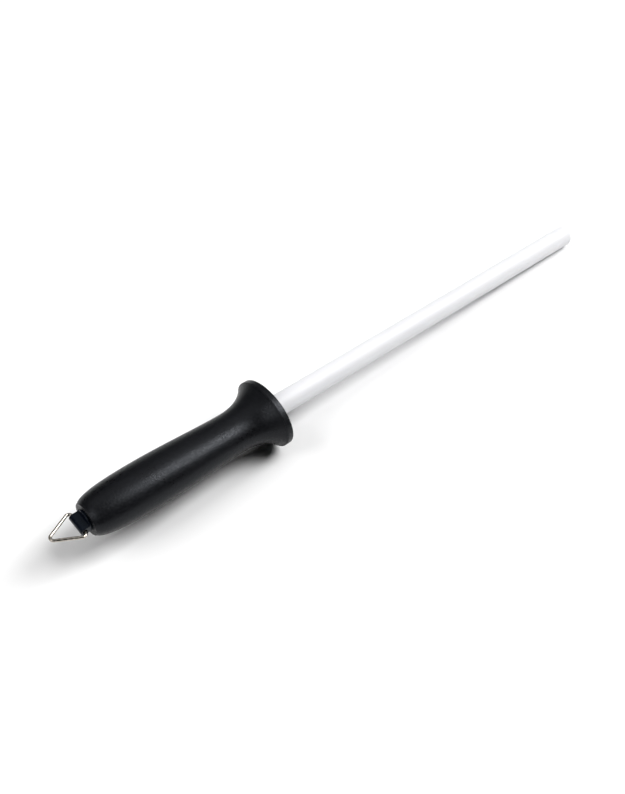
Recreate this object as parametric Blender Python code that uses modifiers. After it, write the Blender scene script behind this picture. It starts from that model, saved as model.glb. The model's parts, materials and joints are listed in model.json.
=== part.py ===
"""Ceramic knife sharpening rod with a moulded handle, a swivelling eye and a hanging ring.

The pieces are made in the steel's own frame and in millimetres: the turning axis is Z, z = 0 is the
front face of the guard, +z runs along the rod to its tip and -z runs back to the ring. Local X is the
handle's height and local Y its width. One empty then lays the whole steel down on its guard and tip.
"""

import math

import bmesh
import bpy
from mathutils import Vector
from mathutils.geometry import interpolate_bezier

MM = 0.001

# Rod
ROD_RADIUS = 6.35
ROD_EXPOSED = 250.0
ROD_BEDDED = 75.0
TIP_ROUND = 1.3
BEDDED_CHAMFER = 0.8

# Handle outline, as half-widths at distances back from the guard's front face
GUARD_RADIUS = 22.2
RIM_WIDTH = 3.6
RIM_ROUND = 0.8
FLARE_START_BACK, FLARE_START_RADIUS = 4.0, 21.7
FLARE_PULL_BACK, FLARE_PULL_RADIUS = 9.3, 16.2
WAIST_PULL = 12.0
GRIP_PULL = 13.0
BELLY_PULL = 18.0
WAIST_BACK, WAIST_RADIUS = 27.0, 12.7
BELLY_BACK, BELLY_RADIUS = 80.0, 14.35
SHOULDER_BACK, SHOULDER_RADIUS = 106.8, 13.2
BUTT_EDGE_BACK, BUTT_EDGE_RADIUS = 117.1, 10.1
HANDLE_LENGTH = 118.0
BELLY_REAR_PULL = 11.0
SHOULDER_PULL_BACK, SHOULDER_PULL_RADIUS = 5.8, 0.8
BUTT_PULL_BACK, BUTT_PULL_RADIUS = 4.6, 0.6
EDGE_PULL_BACK, EDGE_PULL_RADIUS = 1.8, 1.6
BUTT_CORNER_BULGE = 0.25
BUTT_FACE_RADIUS = 9.3
# Height over width: the guard is the flattest section and the butt the roundest
GUARD_FLATNESS = 0.80
BUTT_FLATNESS = 0.91

# Clearance left between pieces that touch, and how far a cutter runs past a face
GAP = 0.3
CUT_PAST = 2.0

# Bonding layer around the bedded end of the rod
BOND_WALL = 0.6
BOND_BELOW_FACE = 0.4

# Hollow behind the rod and the end wall that carries the eye
POCKET_RADIUS = 5.6
POCKET_FLOOR_BACK = 107.7
STEM_BORE_RADIUS = 3.3
MOUTH_CHAMFER = 0.7
BORE_STEP = 1.0

# Swivelling eye
STEM_RADIUS = 3.0
COLLAR_RADIUS = 5.8
COLLAR_THICKNESS = 1.3
COLLAR_SUNK = 0.2
COLLAR_RECESS_DEPTH = 0.5
COLLAR_RECESS_RADIUS = 6.3
LUG_WIDTH = 11.4
LUG_THICKNESS = 4.8
LUG_EDGE_ROUND = 0.5
LUG_EDGE_SEGMENTS = 3
LUG_EDGE_ANGLE = math.radians(50.0)
RING_AXIS_BACK = 122.2
WIRE_BORE_RADIUS = 1.25
EYE_TURN = math.radians(6.0)

# Washer and screw that hold the stem in the end wall
WASHER_RADIUS = 4.8
WASHER_THICKNESS = 1.0
SCREW_SHANK_RADIUS = 1.4
SCREW_SHANK_LENGTH = 9.0
SCREW_HEAD_RADIUS = 3.0
SCREW_HEAD_HEIGHT = 2.0
SCREW_SLOT_WIDTH = 0.8
SCREW_SLOT_DEPTH = 1.0
WASHER_LIFT = 0.3

# Hanging ring, a bent wire triangle with its base in the eye
WIRE_RADIUS = 0.9
RING_WIDTH = 18.0
RING_HEIGHT = 18.8
CORNER_RADIUS = 2.0
APEX_RADIUS = 1.9
END_GAP = 0.5
RING_RISE = math.radians(5.0)

# Facets
ROD_SIDES = 48
HANDLE_SIDES = 72
SMALL_SIDES = 32
CURVE_POINTS = 11
ARC_POINTS = 5
BEND_POINTS = 8
MERGE_DISTANCE = 0.00001
SHARP_ANGLE = math.radians(35.0)


def clear_scene():
    for obj in list(bpy.data.objects):
        bpy.data.objects.remove(obj, do_unlink=True)


def collection(name):
    made = bpy.data.collections.new(name)
    bpy.context.scene.collection.children.link(made)
    return made


def material(name, colour, roughness, metallic=0.0):
    made = bpy.data.materials.new(name)
    made.use_nodes = True
    shader = made.node_tree.nodes["Principled BSDF"]
    shader.inputs["Base Color"].default_value = (*colour, 1.0)
    shader.inputs["Roughness"].default_value = roughness
    shader.inputs["Metallic"].default_value = metallic
    made.diffuse_color = (*colour, 1.0)
    return made


def add_object(name, data, group, parent, finish=None):
    obj = bpy.data.objects.new(name, data)
    group.objects.link(obj)
    obj.parent = parent
    if finish:
        data.materials.append(finish)
    return obj


def empty(name, group, parent=None):
    return add_object(name, None, group, parent)


def as_cutter(obj):
    """Keeps a helper out of the model: it only shapes another piece."""
    obj.hide_render = True
    obj.display_type = "WIRE"
    return obj


def arc(centre, radius, start, end, points=ARC_POINTS):
    """Points of an arc in the outline plane, where a point is (distance from the axis, z)."""
    steps = [start + (end - start) * i / (points - 1) for i in range(points)]
    return [
        (centre[0] + radius * math.cos(a), centre[1] + radius * math.sin(a))
        for a in map(math.radians, steps)
    ]


def turned(name, outline, group, parent, finish=None, sides=SMALL_SIDES, closed=False):
    """A piece turned about Z from an outline that runs down its outer side."""
    points = [(radius * MM, 0.0, z * MM) for radius, z in outline]
    edges = [(i, i + 1) for i in range(len(points) - 1)]
    if closed:
        edges.append((len(points) - 1, 0))
    mesh = bpy.data.meshes.new(name)
    mesh.from_pydata(points, edges, [])
    obj = add_object(name, mesh, group, parent, finish)
    screw = obj.modifiers.new("turning", "SCREW")
    screw.axis = "Z"
    screw.steps = sides
    screw.render_steps = sides
    screw.use_merge_vertices = True
    screw.merge_threshold = MERGE_DISTANCE
    screw.use_smooth_shade = True
    return obj


def evaluated_mesh(obj, name):
    """The object's mesh with its modifiers applied, or a curve's mesh with its caps welded."""
    graph = bpy.context.evaluated_depsgraph_get()
    mesh = bpy.data.meshes.new_from_object(obj.evaluated_get(graph))
    mesh.name = name
    return mesh


def weld(mesh):
    work = bmesh.new()
    work.from_mesh(mesh)
    bmesh.ops.remove_doubles(work, verts=work.verts, dist=MERGE_DISTANCE)
    work.to_mesh(mesh)
    work.free()


def shade_round(obj):
    obj.data.shade_smooth()
    obj.data.set_sharp_from_angle(angle=SHARP_ANGLE)


def boolean(obj, other, operation="DIFFERENCE"):
    cut = obj.modifiers.new(other.name, "BOOLEAN")
    cut.operation = operation
    cut.object = other


# ---------------------------------------------------------------- handle


def bezier(start, start_handle, end_handle, end):
    """Outline points of one cubic curve, without its first point, from (back, radius) pairs."""
    knots = [Vector((radius, -back, 0.0)) for back, radius in (start, start_handle, end_handle, end)]
    return [(p.x, p.y) for p in interpolate_bezier(*knots, CURVE_POINTS)[1:]]


def handle_outline():
    """Half-width of the handle from the front face's centre round to the butt face's centre."""
    waist = (WAIST_BACK, WAIST_RADIUS)
    belly = (BELLY_BACK, BELLY_RADIUS)
    shoulder = (SHOULDER_BACK, SHOULDER_RADIUS)
    butt_edge = (BUTT_EDGE_BACK, BUTT_EDGE_RADIUS)
    outline = [(0.0, 0.0)]
    outline += arc((GUARD_RADIUS - RIM_ROUND, -RIM_ROUND), RIM_ROUND, 90.0, 0.0)
    outline += [(GUARD_RADIUS, -RIM_WIDTH), (FLARE_START_RADIUS, -FLARE_START_BACK)]
    outline += bezier(
        (FLARE_START_BACK, FLARE_START_RADIUS),
        (FLARE_PULL_BACK, FLARE_PULL_RADIUS),
        (WAIST_BACK - WAIST_PULL, WAIST_RADIUS),
        waist,
    )
    outline += bezier(
        waist,
        (WAIST_BACK + GRIP_PULL, WAIST_RADIUS),
        (BELLY_BACK - BELLY_PULL, BELLY_RADIUS),
        belly,
    )
    outline += bezier(
        belly,
        (BELLY_BACK + BELLY_REAR_PULL, BELLY_RADIUS),
        (SHOULDER_BACK - SHOULDER_PULL_BACK, SHOULDER_RADIUS + SHOULDER_PULL_RADIUS),
        shoulder,
    )
    outline += bezier(
        shoulder,
        (SHOULDER_BACK + BUTT_PULL_BACK, SHOULDER_RADIUS - BUTT_PULL_RADIUS),
        (BUTT_EDGE_BACK - EDGE_PULL_BACK, BUTT_EDGE_RADIUS + EDGE_PULL_RADIUS),
        butt_edge,
    )
    edge_middle = (BUTT_EDGE_RADIUS + BUTT_FACE_RADIUS) / 2 + BUTT_CORNER_BULGE
    outline += [(edge_middle, -HANDLE_LENGTH + BUTT_CORNER_BULGE), (BUTT_FACE_RADIUS, -HANDLE_LENGTH)]
    outline += [(0.0, -HANDLE_LENGTH)]
    return outline


def flatten(mesh):
    """Presses a turned handle oval: each section's height becomes its share of the width."""
    for vertex in mesh.vertices:
        along = min(max(-vertex.co.z / (HANDLE_LENGTH * MM), 0.0), 1.0)
        vertex.co.x *= GUARD_FLATNESS + (BUTT_FLATNESS - GUARD_FLATNESS) * along
    mesh.update()


def bore_outline():
    """The handle's whole hollow: the rod's bore, the pocket behind it, the stem's bore and a recess."""
    bore_radius = ROD_RADIUS + BOND_WALL + 2 * GAP
    bore_floor = -(ROD_BEDDED + BOND_WALL + 3 * GAP)
    above, below = CUT_PAST, -HANDLE_LENGTH - CUT_PAST
    recess_top = -HANDLE_LENGTH + COLLAR_RECESS_DEPTH
    return [
        (0.0, above),
        (bore_radius + MOUTH_CHAMFER + above, above),
        (bore_radius, -MOUTH_CHAMFER),
        (bore_radius, bore_floor),
        (POCKET_RADIUS, bore_floor - BORE_STEP),
        (POCKET_RADIUS, -POCKET_FLOOR_BACK),
        (STEM_BORE_RADIUS, -POCKET_FLOOR_BACK),
        (STEM_BORE_RADIUS, recess_top),
        (COLLAR_RECESS_RADIUS, recess_top),
        (COLLAR_RECESS_RADIUS, below),
        (0.0, below),
    ]


def make_handle(group, cutters, parent, finish):
    blank = turned("handle_blank", handle_outline(), group, parent, sides=HANDLE_SIDES)
    mesh = evaluated_mesh(blank, "handle")
    bpy.data.objects.remove(blank)
    flatten(mesh)
    obj = add_object("handle", mesh, group, parent, finish)
    shade_round(obj)
    bore = as_cutter(turned("handle_bore", bore_outline(), cutters, parent, sides=ROD_SIDES))
    boolean(obj, bore)
    return obj


# ---------------------------------------------------------------- rod and its bond


def make_rod(group, parent, finish):
    outline = [(0.0, ROD_EXPOSED)]
    outline += arc((ROD_RADIUS - TIP_ROUND, ROD_EXPOSED - TIP_ROUND), TIP_ROUND, 90.0, 0.0)
    outline += [
        (ROD_RADIUS, 0.0),
        (ROD_RADIUS, BEDDED_CHAMFER - ROD_BEDDED),
        (ROD_RADIUS - BEDDED_CHAMFER, -ROD_BEDDED),
        (0.0, -ROD_BEDDED),
    ]
    return turned("ceramic_rod", outline, group, parent, finish, sides=ROD_SIDES)


def make_bond(group, parent, finish):
    """The cured adhesive, a thin cup between the rod and the wall of its bore."""
    inner = ROD_RADIUS + GAP
    outer = inner + BOND_WALL
    floor = -ROD_BEDDED - GAP
    outline = [
        (0.0, floor),
        (inner, floor),
        (inner, -BOND_BELOW_FACE),
        (outer, -BOND_BELOW_FACE),
        (outer, floor - BOND_WALL),
        (0.0, floor - BOND_WALL),
    ]
    return turned("rod_bond", outline, group, parent, finish, sides=ROD_SIDES)


# ---------------------------------------------------------------- swivelling eye


def stem_end_z():
    return -POCKET_FLOOR_BACK + WASHER_LIFT


def lug_curve():
    """A tongue with a half-round end, its outline drawn in the XZ plane and extruded along Y."""
    half = LUG_THICKNESS / 2
    root = RING_AXIS_BACK - HANDLE_LENGTH + COLLAR_SUNK - COLLAR_THICKNESS / 2
    curve = bpy.data.curves.new("lug_outline", "CURVE")
    curve.dimensions = "2D"
    curve.fill_mode = "BOTH"
    curve.extrude = LUG_WIDTH / 2 * MM
    points = [(half, root), (-half, root)] + arc((0.0, 0.0), half, 180.0, 360.0, 2 * BEND_POINTS)
    spline = curve.splines.new("POLY")
    spline.points.add(len(points) - 1)
    for point, (x, y) in zip(spline.points, points):
        point.co = (x * MM, y * MM, 0.0, 1.0)
    spline.use_cyclic_u = True
    return curve


def cylinder_outline(radius, low, high):
    return [(0.0, high), (radius, high), (radius, low), (0.0, low)]


def make_lug(cutters, pivot):
    flat = add_object("lug_flat", lug_curve(), cutters, None)
    bpy.context.view_layer.update()
    mesh = evaluated_mesh(flat, "lug")
    bpy.data.objects.remove(flat)
    weld(mesh)
    lug = add_object("lug", mesh, cutters, pivot)
    lug.rotation_euler = (math.radians(90.0), 0.0, 0.0)
    edge = lug.modifiers.new("rounded edges", "BEVEL")
    edge.width = LUG_EDGE_ROUND * MM
    edge.segments = LUG_EDGE_SEGMENTS
    edge.angle_limit = LUG_EDGE_ANGLE
    return as_cutter(lug)


def make_eye(group, cutters, pivot, finish):
    """Stem and collar turned in one, with the lug joined on and the wire's bore cut through it."""
    collar_top = RING_AXIS_BACK - HANDLE_LENGTH + COLLAR_SUNK
    collar_base = collar_top - COLLAR_THICKNESS
    edge = COLLAR_THICKNESS / 3
    outline = [
        (0.0, RING_AXIS_BACK + stem_end_z()),
        (STEM_RADIUS, RING_AXIS_BACK + stem_end_z()),
        (STEM_RADIUS, collar_top),
        (COLLAR_RADIUS, collar_top),
        (COLLAR_RADIUS, collar_base + edge),
        (COLLAR_RADIUS - edge, collar_base),
        (0.0, collar_base),
    ]
    obj = turned("swivel_eye", outline, group, pivot, finish)
    boolean(obj, make_lug(cutters, pivot), "UNION")
    bore = turned("wire_bore", cylinder_outline(WIRE_BORE_RADIUS, -LUG_WIDTH, LUG_WIDTH), cutters, pivot)
    bore.rotation_euler = (math.radians(90.0), 0.0, 0.0)
    boolean(obj, as_cutter(bore))
    stem_top = RING_AXIS_BACK + stem_end_z()
    pilot_floor = stem_top - SCREW_SHANK_LENGTH + WASHER_THICKNESS
    pilot_outline = cylinder_outline(SCREW_SHANK_RADIUS + GAP, pilot_floor, stem_top + CUT_PAST)
    boolean(obj, as_cutter(turned("screw_pilot", pilot_outline, cutters, pivot)))
    return obj


def make_washer(group, pivot, finish):
    low = RING_AXIS_BACK + stem_end_z() + GAP
    high = low + WASHER_THICKNESS
    hole = SCREW_SHANK_RADIUS + GAP
    outline = [(hole, high), (WASHER_RADIUS, high), (WASHER_RADIUS, low), (hole, low)]
    return turned("eye_washer", outline, group, pivot, finish, closed=True)


def make_screw(group, cutters, pivot, finish):
    seat = RING_AXIS_BACK + stem_end_z() + 2 * GAP + WASHER_THICKNESS
    top = seat + SCREW_HEAD_HEIGHT
    edge = SCREW_HEAD_HEIGHT / 2
    outline = [(0.0, top)]
    outline += arc((SCREW_HEAD_RADIUS - edge, top - edge), edge, 90.0, 0.0)
    outline += [
        (SCREW_HEAD_RADIUS, seat),
        (SCREW_SHANK_RADIUS, seat),
        (SCREW_SHANK_RADIUS, seat - SCREW_SHANK_LENGTH + 2 * SCREW_SHANK_RADIUS),
        (0.0, seat - SCREW_SHANK_LENGTH + SCREW_SHANK_RADIUS),
    ]
    obj = turned("eye_screw", outline, group, pivot, finish)
    bpy.ops.mesh.primitive_cube_add(size=1.0, calc_uvs=False)
    slot = bpy.context.object
    slot.name = "screw_slot"
    for holder in slot.users_collection:
        holder.objects.unlink(slot)
    cutters.objects.link(slot)
    slot.parent = pivot
    slot.scale = (SCREW_SLOT_WIDTH * MM, 3 * SCREW_HEAD_RADIUS * MM, 2 * SCREW_SLOT_DEPTH * MM)
    slot.location = (0.0, 0.0, top * MM)
    boolean(obj, as_cutter(slot))
    return obj


# ---------------------------------------------------------------- hanging ring


def corner(tip, towards_a, towards_b, radius):
    """Points of the bend that replaces a sharp corner between two straight runs."""
    tip = Vector(tip)
    a = (Vector(towards_a) - tip).normalized()
    b = (Vector(towards_b) - tip).normalized()
    half = a.angle(b) / 2
    centre = tip + (a + b).normalized() * (radius / math.sin(half))
    first = tip + a * (radius / math.tan(half)) - centre
    last = tip + b * (radius / math.tan(half)) - centre
    turn = first.angle(last)
    points = []
    for i in range(BEND_POINTS):
        share = i / (BEND_POINTS - 1)
        blend = first * math.sin((1 - share) * turn) + last * math.sin(share * turn)
        points.append(centre + blend / math.sin(turn))
    return points


def ring_path():
    """The wire's centre line in the YZ plane, from one butted end round to the other."""
    near = (0.0, RING_WIDTH / 2, 0.0)
    far = (0.0, -RING_WIDTH / 2, 0.0)
    apex = (0.0, 0.0, -RING_HEIGHT)
    path = [Vector((0.0, END_GAP / 2, 0.0))]
    path += corner(near, far, apex, CORNER_RADIUS)
    path += corner(apex, near, far, APEX_RADIUS)
    path += corner(far, apex, near, CORNER_RADIUS)
    path += [Vector((0.0, -END_GAP / 2, 0.0))]
    return path


def make_ring(group, pivot, finish):
    curve = bpy.data.curves.new("hanging_ring", "CURVE")
    curve.dimensions = "3D"
    curve.bevel_depth = WIRE_RADIUS * MM
    curve.bevel_resolution = 3
    curve.use_fill_caps = True
    path = ring_path()
    spline = curve.splines.new("POLY")
    spline.points.add(len(path) - 1)
    for point, place in zip(spline.points, path):
        point.co = (*(place * MM), 1.0)
    return add_object("hanging_ring", curve, group, pivot, finish)


# ---------------------------------------------------------------- assembly


def rest_tilt():
    """The angle at which the guard's lower edge and the rod's tip touch one flat surface."""
    rise = GUARD_RADIUS * GUARD_FLATNESS - ROD_RADIUS
    run = ROD_EXPOSED - TIP_ROUND + RIM_ROUND
    return math.atan2(rise, run)


def lay_down(axis, pieces):
    """Stands the steel on z = 0 with its box centred on the origin."""
    bpy.context.view_layer.update()
    graph = bpy.context.evaluated_depsgraph_get()
    corners = []
    for piece in pieces:
        shaped = piece.evaluated_get(graph)
        mesh = shaped.to_mesh()
        corners += [shaped.matrix_world @ vertex.co for vertex in mesh.vertices]
        shaped.to_mesh_clear()
    low = [min(point[i] for point in corners) for i in range(3)]
    high = [max(point[i] for point in corners) for i in range(3)]
    axis.location = (-(low[0] + high[0]) / 2, -(low[1] + high[1]) / 2, -low[2])


def main():
    clear_scene()
    group = collection("ceramic_sharpening_rod")
    cutters = collection("cutters")
    cutters.hide_render = True

    ceramic = material("white ceramic", (0.90, 0.90, 0.88), 0.45)
    plastic = material("black moulded plastic", (0.012, 0.012, 0.014), 0.38)
    eye_plastic = material("blue-black plastic", (0.010, 0.013, 0.020), 0.30)
    epoxy = material("cured adhesive", (0.75, 0.70, 0.55), 0.50)
    zinc = material("zinc-plated steel", (0.62, 0.62, 0.60), 0.35, 1.0)
    nickel = material("bright plated wire", (0.78, 0.74, 0.70), 0.16, 1.0)

    axis = empty("steel_axis", group)
    axis.rotation_euler = (0.0, math.radians(90.0) + rest_tilt(), 0.0)
    eye_pivot = empty("eye_pivot", group, axis)
    eye_pivot.location = (0.0, 0.0, -RING_AXIS_BACK * MM)
    eye_pivot.rotation_euler = (0.0, 0.0, EYE_TURN)
    ring_pivot = empty("ring_pivot", group, eye_pivot)
    ring_pivot.rotation_euler = (0.0, RING_RISE, 0.0)

    pieces = [
        make_handle(group, cutters, axis, plastic),
        make_rod(group, axis, ceramic),
        make_bond(group, axis, epoxy),
        make_eye(group, cutters, eye_pivot, eye_plastic),
        make_washer(group, eye_pivot, zinc),
        make_screw(group, cutters, eye_pivot, zinc),
        make_ring(group, ring_pivot, nickel),
    ]
    lay_down(axis, pieces)


main()
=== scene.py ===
# %% [markdown]
# # A ceramic knife sharpening rod
#
# This lesson finishes one hand tool in Blender: a white ceramic honing rod set in a black moulded
# handle, with a swivelling eye and a wire ring at the butt. The engineering model is already made. It
# is loaded as a fixed frame that says where each piece sits and what it moves with. Everything below
# gives those pieces their final surface: finer shapes, true edges and real finishes.

# %% Load the fixed frame
import json
import math

import bmesh
import bpy
from mathutils import Matrix, Vector
from mathutils.bvhtree import BVHTree
from mathutils.geometry import interpolate_bezier


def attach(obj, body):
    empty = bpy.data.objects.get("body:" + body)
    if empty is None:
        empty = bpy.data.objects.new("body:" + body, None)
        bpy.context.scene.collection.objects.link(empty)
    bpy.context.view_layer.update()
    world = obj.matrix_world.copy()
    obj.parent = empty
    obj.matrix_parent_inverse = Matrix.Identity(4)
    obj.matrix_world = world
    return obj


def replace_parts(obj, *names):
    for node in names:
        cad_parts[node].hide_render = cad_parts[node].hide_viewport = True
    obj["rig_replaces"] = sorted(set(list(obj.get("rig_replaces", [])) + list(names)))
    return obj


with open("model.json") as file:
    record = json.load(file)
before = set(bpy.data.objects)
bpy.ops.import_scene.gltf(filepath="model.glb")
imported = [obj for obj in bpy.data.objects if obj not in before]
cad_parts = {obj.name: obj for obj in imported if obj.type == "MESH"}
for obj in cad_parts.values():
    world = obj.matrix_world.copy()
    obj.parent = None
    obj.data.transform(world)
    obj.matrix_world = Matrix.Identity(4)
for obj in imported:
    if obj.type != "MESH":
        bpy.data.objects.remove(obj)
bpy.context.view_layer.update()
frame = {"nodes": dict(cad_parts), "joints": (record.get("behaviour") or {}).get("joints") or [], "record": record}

print("nodes:", sorted(frame["nodes"]))

# %% [markdown]
# ## Where the steel lies
#
# The tool rests on the edge of its guard and the tip of its rod, so its own axis dips a little. It is
# easier to shape each piece upright, turned about Z, and to lay it down at the end. We read the axis
# from the swivel joint and the front of the guard from its mount, and build one matrix from them. In
# that upright frame z = 0 is the guard's front face, +z runs to the tip, x is the height and y the
# width. The eye gets a frame of its own, because it rests turned a little on its swivel.

# %% The joints and mounts we need
MM = 0.001
joints = {joint["name"]: joint for joint in frame["joints"]}
mounts = {mount["name"]: mount for mount in frame["record"]["mounts"]}
axis = Vector(joints["eye_swivel"]["axis"]).normalized()
pivot = Vector(joints["eye_swivel"]["pos_m"])
front = pivot + axis * (Vector(mounts["guard_face"]["pos_m"]) - pivot).dot(axis)
print(f"axis dips {math.degrees(math.asin(-axis.z)):.2f} degrees")


# %% Two frames in millimetres
def frame_matrix(origin, across, along):
    """A matrix for an upright frame: y is across, z is along, and millimetres turn to metres."""
    turn = Matrix((across.cross(along), across, along)).transposed().to_4x4()
    return Matrix.Translation(origin) @ turn @ Matrix.Scale(MM, 4)


steel = frame_matrix(front, Vector((0.0, 1.0, 0.0)), axis)
eye = frame_matrix(pivot, Vector(joints["ring_hinge"]["axis"]).normalized(), axis)
rod_exposed = (Vector(mounts["rod_tip_face"]["pos_m"]) - front).length / MM
ring_axis_back = (pivot - front).length / MM
print(f"rod shows {rod_exposed:.1f} mm, ring axis {ring_axis_back:.1f} mm behind the guard")

# %% [markdown]
# ## Outlines
#
# A lathe operator thinks in outlines: how far the skin is from the axis at each place along it. An
# outline here is a list of (radius, z, oval) points in millimetres. Arcs round the edges, and cubic
# curves draw the long hand-shaped stretches. The third number says how far the handle's oval pressing
# acts there: 1 on the outer skin and 0 in the round bore.

# %% Outline helpers
ARC_STEPS = 7
CURVE_STEPS = 28


def run(*points, oval=0.0):
    """Straight stretches through (radius, z) points."""
    return [(radius, z, oval) for radius, z in points]


def arc(centre, radius, start, end, oval=0.0, steps=ARC_STEPS):
    """A round edge about a centre, between two angles in degrees."""
    angles = [math.radians(start + (end - start) * i / (steps - 1)) for i in range(steps)]
    return [(centre[0] + radius * math.cos(a), centre[1] + radius * math.sin(a), oval) for a in angles]


def sweep(start, start_handle, end_handle, end, oval=1.0):
    """A cubic stretch between two (back, radius) points, without its first point."""
    ends_and_handles = (start, start_handle, end_handle, end)
    knots = [Vector((radius, -back, 0.0)) for back, radius in ends_and_handles]
    return [(p.x, p.y, oval) for p in interpolate_bezier(*knots, CURVE_STEPS)[1:]]


print("a quarter arc of radius 1 has", len(arc((0.0, 0.0), 1.0, 0.0, 90.0)), "points")

# %% [markdown]
# ## Small helpers for node trees
#
# Geometry and material trees are both built by hand, node by node. Three helpers keep that readable:
# one adds a node with its settings and inputs, one sets or links a socket, and one does arithmetic.

# %% Node helpers
def connect(tree, socket, value):
    """Links a socket to another, or sets its number."""
    if isinstance(value, bpy.types.NodeSocket):
        tree.links.new(value, socket)
    else:
        socket.default_value = value


def node(tree, kind, settings=(), **sockets):
    """Adds a node, sets its options, and sets or links each named input."""
    made = tree.nodes.new(kind)
    for name, value in dict(settings).items():
        setattr(made, name, value)
    for name, value in sockets.items():
        connect(tree, made.inputs[name.replace("_", " ")], value)
    return made


def maths(tree, operation, *values):
    """One arithmetic node, with its inputs in order."""
    made = tree.nodes.new("ShaderNodeMath")
    made.operation = operation
    for socket, value in zip(made.inputs, values):
        connect(tree, socket, value)
    return made.outputs[0]


print("node helpers ready")

# %% [markdown]
# ## A lathe made of geometry nodes
#
# Most of these pieces are turned, so one node tree turns them all. It reads the outline's points, lays
# a grid with one row for each point and one column for each side, and wraps every row round the axis.
# The handle is not quite round: its height is pressed to a share of its width that changes from the
# guard to the butt. That is one more multiplication, so the same tree makes the oval handle too.
# Wrapping a grid keeps every point of the outline, so crisp edges stay crisp where a remesh would melt
# them. Each tree of this lesson ends the same way: real geometry, shaded smooth, with its finish set.

# %% The start and the end of a tree
WELD = 1e-4


def new_tree(name, inputs):
    """An empty geometry tree with named inputs, its group input and its group output."""
    tree = bpy.data.node_groups.new(name, "GeometryNodeTree")
    tree.interface.new_socket("Geometry", in_out="INPUT", socket_type="NodeSocketGeometry")
    for label, kind in inputs.items():
        tree.interface.new_socket(label, in_out="INPUT", socket_type="NodeSocket" + kind)
    tree.interface.new_socket("Geometry", in_out="OUTPUT", socket_type="NodeSocketGeometry")
    return tree, tree.nodes.new("NodeGroupInput"), tree.nodes.new("NodeGroupOutput")


def close_tree(tree, geometry, finish, out):
    """Realises the geometry, shades it smooth and sets its material."""
    real = node(tree, "GeometryNodeRealizeInstances", Geometry=geometry)
    smooth = node(tree, "GeometryNodeSetShadeSmooth", Geometry=real.outputs[0])
    painted = node(tree, "GeometryNodeSetMaterial", Geometry=smooth.outputs[0], Material=finish)
    tree.links.new(painted.outputs[0], out.inputs[0])
    return tree


print("points closer than", WELD, "mm become one")


# %% The turning tree
def pressed_share(tree, given, z):
    """How much of its width the handle's height keeps at a place along it."""
    along = maths(tree, "DIVIDE", maths(tree, "MULTIPLY", z, -1.0), given.outputs["Length"])
    along = maths(tree, "MINIMUM", maths(tree, "MAXIMUM", along, 0.0), 1.0)
    change = maths(tree, "SUBTRACT", given.outputs["Oval Back"], given.outputs["Oval Front"])
    return maths(tree, "MULTIPLY_ADD", along, change, given.outputs["Oval Front"])


def turning_tree():
    inputs = {"Sides": "Int", "Oval Front": "Float", "Oval Back": "Float", "Length": "Float"}
    tree, given, out = new_tree("Turning", {**inputs, "Finish": "Material"})
    outline = given.outputs["Geometry"]
    columns = maths(tree, "ADD", given.outputs["Sides"], 1.0)
    count = node(tree, "GeometryNodeAttributeDomainSize", Geometry=outline).outputs["Point Count"]
    grid = node(tree, "GeometryNodeMeshGrid", Vertices_X=count, Vertices_Y=columns)

    index = node(tree, "GeometryNodeInputIndex").outputs[0]
    row = maths(tree, "FLOOR", maths(tree, "DIVIDE", maths(tree, "ADD", index, 0.5), columns))
    column = maths(tree, "SUBTRACT", index, maths(tree, "MULTIPLY", row, columns))
    turn_share = maths(tree, "DIVIDE", column, given.outputs["Sides"])
    angle = maths(tree, "MULTIPLY", turn_share, 2 * math.pi)

    place = node(tree, "GeometryNodeInputPosition").outputs[0]
    vector = {"data_type": "FLOAT_VECTOR"}
    point = node(tree, "GeometryNodeSampleIndex", vector, Geometry=outline, Value=place, Index=row)
    parts = node(tree, "ShaderNodeSeparateXYZ", Vector=point.outputs[0]).outputs
    flattening = maths(tree, "SUBTRACT", 1.0, pressed_share(tree, given, parts["Z"]))
    loss = maths(tree, "MULTIPLY", flattening, parts["Y"])
    x = maths(tree, "MULTIPLY", parts["X"], maths(tree, "COSINE", angle))
    x = maths(tree, "MULTIPLY", x, maths(tree, "SUBTRACT", 1.0, loss))
    y = maths(tree, "MULTIPLY", parts["X"], maths(tree, "SINE", angle))
    wrapped = node(tree, "ShaderNodeCombineXYZ", X=x, Y=y, Z=parts["Z"]).outputs[0]
    moved = node(tree, "GeometryNodeSetPosition", Geometry=grid.outputs["Mesh"], Position=wrapped)
    welded = node(tree, "GeometryNodeMergeByDistance", Geometry=moved.outputs[0], Distance=WELD)
    return close_tree(tree, welded.outputs[0], given.outputs["Finish"], out)


turning = turning_tree()
print("turning tree:", len(turning.nodes), "nodes")

# %% [markdown]
# ## From outline to mesh
#
# The outline becomes a chain of edges. Its oval share travels in the otherwise unused Y of each point.
# The tree runs on that chain as a modifier, and the result is taken off as a plain mesh. The inputs
# are set by their socket's identifier, before the tree is first evaluated.

# %% Run a tree
def loose_object(name, data):
    """A new object in the scene, at the origin."""
    obj = bpy.data.objects.new(name, data)
    bpy.context.scene.collection.objects.link(obj)
    return obj


def taken_off(obj):
    """The object's mesh with every modifier applied; the helper object is removed."""
    bpy.context.view_layer.update()
    graph = bpy.context.evaluated_depsgraph_get()
    mesh = bpy.data.meshes.new_from_object(obj.evaluated_get(graph))
    bpy.data.objects.remove(obj)
    return mesh


def run_tree(name, tree, data, values):
    """Runs a tree on some data and takes the result off as a plain mesh."""
    obj = loose_object(name, data)
    modifier = obj.modifiers.new(tree.name, "NODES")
    modifier.node_group = tree
    for item in tree.interface.items_tree:
        if item.item_type == "SOCKET" and item.in_out == "INPUT" and item.name in values:
            modifier[item.identifier] = values[item.name]
    return taken_off(obj)


def chain_of(name, points):
    """Points joined by edges, one after another."""
    chain = bpy.data.meshes.new(name)
    chain.from_pydata(points, [(i, i + 1) for i in range(len(points) - 1)], [])
    return chain


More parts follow.
